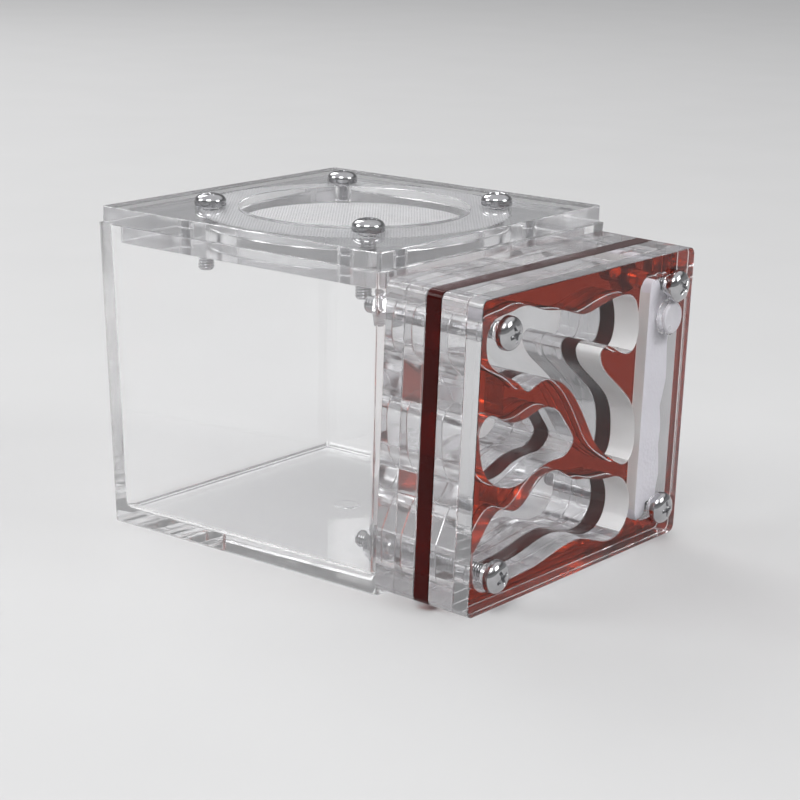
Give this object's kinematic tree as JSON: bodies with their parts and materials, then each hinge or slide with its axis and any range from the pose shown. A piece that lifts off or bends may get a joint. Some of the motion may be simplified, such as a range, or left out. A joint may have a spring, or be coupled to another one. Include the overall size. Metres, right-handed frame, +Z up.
{
  "type": "ant habitat",
  "caption": "Small clear ant habitat: a foraging box with a vented lift-off lid, and a stack of clamped plates with curved galleries, a tinted layer, a watering sponge and a plug.",
  "frame": {"origin": "centre of the foraging box's rest face", "axes": "+Z up, +X along the habitat's width, and the nest block faces -Y"},
  "size_m": [0.0636, 0.0863, 0.0603],
  "materials": {
    "clear_polystyrene": "clear moulded, gloss",
    "clear_acrylic": "clear cut sheet, gloss",
    "red_acrylic": "tinted clear sheet, gloss",
    "woven_steel": "fine woven wire",
    "plated_steel": "bright plated",
    "white_foam": "soft damp foam",
    "white_silicone": "smooth satin"
  },
  "bodies": {
    "habitat": {"foraging_box": "clear_polystyrene", "nest_back_plate": "clear_acrylic", "nest_rear_gallery_plate": "clear_acrylic", "nest_red_plate": "red_acrylic", "nest_front_gallery_plate": "clear_acrylic", "nest_cover": "clear_acrylic", "hydration_sponge": "white_foam", "nest_screw_1": "plated_steel", "nest_screw_2": "plated_steel", "nest_screw_3": "plated_steel", "nest_screw_4": "plated_steel", "nest_nut_1": "plated_steel", "nest_nut_2": "plated_steel", "nest_nut_3": "plated_steel", "nest_nut_4": "plated_steel"},
    "lid": {"lid_plate": "clear_acrylic", "lid_inner_plate": "clear_acrylic", "vent_mesh": "woven_steel", "lid_screw_1": "plated_steel", "lid_screw_2": "plated_steel", "lid_screw_3": "plated_steel", "lid_screw_4": "plated_steel"},
    "plug": {"hydration_plug": "white_silicone"}
  },
  "joints": [
    {"name": "lid_lift", "type": "slide", "parent": "habitat", "child": "lid", "axis": [0, 0, 1], "range_m": [0, 0.04]},
    {"name": "plug_pull", "type": "slide", "parent": "habitat", "child": "plug", "axis": [0, -0.9996, -0.0288], "range_m": [0, 0.01]}
  ]
}
